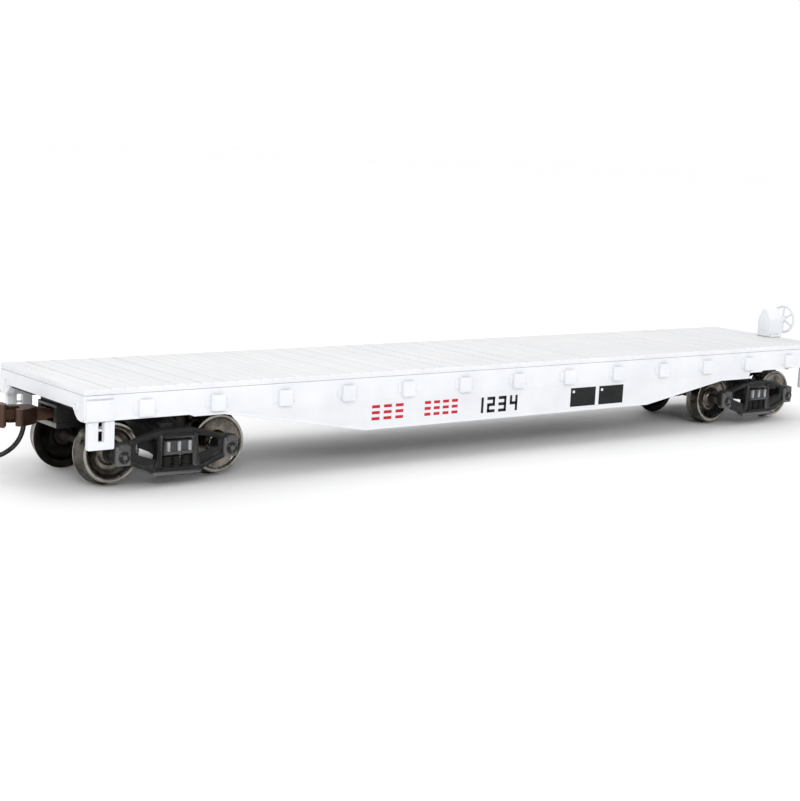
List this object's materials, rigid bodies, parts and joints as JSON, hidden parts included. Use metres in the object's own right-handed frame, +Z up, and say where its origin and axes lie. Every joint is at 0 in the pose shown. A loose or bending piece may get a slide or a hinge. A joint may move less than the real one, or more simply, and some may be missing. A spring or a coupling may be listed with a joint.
{
  "type": "model railway flat car",
  "caption": "Model railway flat car with a planked deck, fishbelly side sills, swivelling two-axle trucks, knuckle couplers and a hand brake.",
  "frame": {"origin": "centre of the car, on the plane that the wheel flanges stand on; the rail top is 0.64 mm above it", "axes": "+X along the car towards the hand brake end, +Y towards the far side, +Z up"},
  "size_m": [0.203, 0.0332, 0.0251],
  "materials": {
    "white_body": "satin white moulded styrene",
    "black_underframe": "matt black moulded plastic",
    "truck_plastic": "satin black-grey moulded acetal",
    "wheel_metal": "bright turned tread, dull backs",
    "axle_plastic": "dark brown-black moulded axle",
    "coupler_brown": "rust-brown painted coupler",
    "screw_steel": "blackened slotted screw",
    "pin_wire": "darkened wire",
    "weight_steel": "plain rolled steel plate"
  },
  "bodies": {
    "car_body": {"deck": "white_body", "side_sill_near": "white_body", "side_sill_far": "white_body", "end_sill_a": "white_body", "end_sill_b": "white_body", "brake_stand": "white_body", "stirrup_a_near": "white_body", "stirrup_a_far": "white_body", "stirrup_b_near": "white_body", "stirrup_b_far": "white_body", "centre_sill": "black_underframe", "crossbearer_1": "black_underframe", "crossbearer_2": "black_underframe", "crossbearer_3": "black_underframe", "crossbearer_4": "black_underframe", "brake_cylinder": "black_underframe", "air_reservoir": "black_underframe", "control_valve": "black_underframe", "body_bolster_a": "black_underframe", "draft_gear_box_a": "black_underframe", "draft_gear_cover_a": "black_underframe", "body_bolster_b": "black_underframe", "draft_gear_box_b": "black_underframe", "draft_gear_cover_b": "black_underframe", "weight": "weight_steel", "cover_screw_a": "screw_steel", "cover_screw_b": "screw_steel", "truck_a_screw": "screw_steel", "truck_b_screw": "screw_steel"},
    "brake_wheel_body": {"brake_wheel": "white_body"},
    "truck_a": {"truck_a_bolster": "truck_plastic", "truck_a_frame_near": "truck_plastic", "truck_a_frame_far": "truck_plastic"},
    "wheelset_a_outer": {"axle_a_outer": "axle_plastic", "wheel_a_outer_near": "wheel_metal", "wheel_a_outer_far": "wheel_metal"},
    "wheelset_a_inner": {"axle_a_inner": "axle_plastic", "wheel_a_inner_near": "wheel_metal", "wheel_a_inner_far": "wheel_metal"},
    "coupler_a_body": {"coupler_a": "coupler_brown", "trip_pin_a": "pin_wire"},
    "knuckle_a_body": {"knuckle_a": "coupler_brown"},
    "truck_b": {"truck_b_bolster": "truck_plastic", "truck_b_frame_near": "truck_plastic", "truck_b_frame_far": "truck_plastic"},
    "wheelset_b_outer": {"axle_b_outer": "axle_plastic", "wheel_b_outer_near": "wheel_metal", "wheel_b_outer_far": "wheel_metal"},
    "wheelset_b_inner": {"axle_b_inner": "axle_plastic", "wheel_b_inner_near": "wheel_metal", "wheel_b_inner_far": "wheel_metal"},
    "coupler_b_body": {"coupler_b": "coupler_brown", "trip_pin_b": "pin_wire"},
    "knuckle_b_body": {"knuckle_b": "coupler_brown"}
  },
  "joints": [
    {"name": "brake_wheel_turn", "type": "hinge", "parent": "car_body", "child": "brake_wheel_body", "pos_m": [0.09555, -0.0021, 0.02174], "axis": [1, 0, 0], "continuous": true},
    {"name": "truck_a_swivel", "type": "hinge", "parent": "car_body", "child": "truck_a", "pos_m": [-0.075, 0, 0.0126], "axis": [0, 0, 1], "range_deg": [-12, 12]},
    {"name": "wheelset_a_outer_roll", "type": "hinge", "parent": "truck_a", "child": "wheelset_a_outer", "pos_m": [-0.0854, 0, 0.00589], "axis": [0, 1, 0], "continuous": true},
    {"name": "wheelset_a_inner_roll", "type": "hinge", "parent": "truck_a", "child": "wheelset_a_inner", "pos_m": [-0.0646, 0, 0.00589], "axis": [0, 1, 0], "continuous": true},
    {"name": "coupler_a_swing", "type": "hinge", "parent": "car_body", "child": "coupler_a_body", "pos_m": [-0.0881, 0, 0.01144], "axis": [0, 0, 1], "range_deg": [-10, 10], "stiffness_Nm_per_rad": 0.003},
    {"name": "knuckle_a_open", "type": "hinge", "parent": "coupler_a_body", "child": "knuckle_a_body", "pos_m": [-0.0981, 0.0017, 0.01144], "axis": [0, 0, -1], "range_deg": [0, 35], "stiffness_Nm_per_rad": 0.0006},
    {"name": "truck_b_swivel", "type": "hinge", "parent": "car_body", "child": "truck_b", "pos_m": [0.075, 0, 0.0126], "axis": [0, 0, 1], "range_deg": [-12, 12]},
    {"name": "wheelset_b_outer_roll", "type": "hinge", "parent": "truck_b", "child": "wheelset_b_outer", "pos_m": [0.0854, 0, 0.00589], "axis": [0, 1, 0], "continuous": true},
    {"name": "wheelset_b_inner_roll", "type": "hinge", "parent": "truck_b", "child": "wheelset_b_inner", "pos_m": [0.0646, 0, 0.00589], "axis": [0, 1, 0], "continuous": true},
    {"name": "coupler_b_swing", "type": "hinge", "parent": "car_body", "child": "coupler_b_body", "pos_m": [0.0881, 0, 0.01144], "axis": [0, 0, 1], "range_deg": [-10, 10], "stiffness_Nm_per_rad": 0.003},
    {"name": "knuckle_b_open", "type": "hinge", "parent": "coupler_b_body", "child": "knuckle_b_body", "pos_m": [0.0981, -0.0017, 0.01144], "axis": [0, 0, -1], "range_deg": [0, 35], "stiffness_Nm_per_rad": 0.0006}
  ]
}
